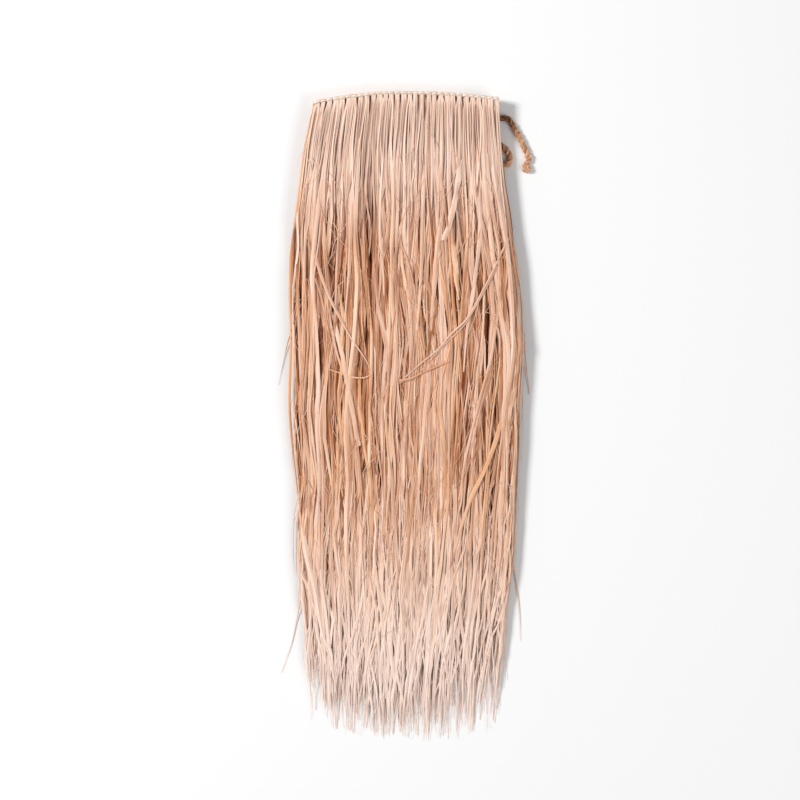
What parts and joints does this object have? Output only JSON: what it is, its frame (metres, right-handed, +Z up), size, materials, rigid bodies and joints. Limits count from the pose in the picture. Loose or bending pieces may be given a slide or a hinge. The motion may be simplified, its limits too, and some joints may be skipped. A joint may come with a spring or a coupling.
{
  "type": "grass skirt",
  "caption": "Natural raffia grass skirt, folded and laid flat: hanks of straw looped over a waist cord, loose strands with ragged tips, and twisted raffia ties at one side.",
  "frame": {"origin": "on the surface that the skirt lies on, under the middle of the skirt's outline without its ties", "axes": "+Y runs along the strands from the hem to the waist, +X is the right-hand side seen from above, where the ties come out, and +Z is up, away from the surface"},
  "size_m": [0.2381, 0.6156, 0.0185],
  "materials": {
    "raffia_pale": "dry pale raffia with fine lengthwise fibres and a soft satin sheen",
    "raffia_straw": "dry straw-coloured raffia with fine lengthwise fibres",
    "raffia_tan": "dry tan raffia in shadow, fibrous and matt",
    "raffia_cord": "plied cream raffia cord, matt",
    "raffia_tie": "twisted brown raffia cord, coarse and matt"
  },
  "bodies": {
    "root": {"waist_cord": "raffia_cord", "front_over_legs": "raffia_pale", "front_under_legs": "raffia_straw", "folded_layers": "raffia_tan", "left_edge_strands": "raffia_straw", "right_edge_strands": "raffia_straw", "hem_strands": "raffia_straw", "tie_long": "raffia_tie", "tie_long_knot": "raffia_tie", "tie_looped": "raffia_tie"}
  },
  "joints": []
}
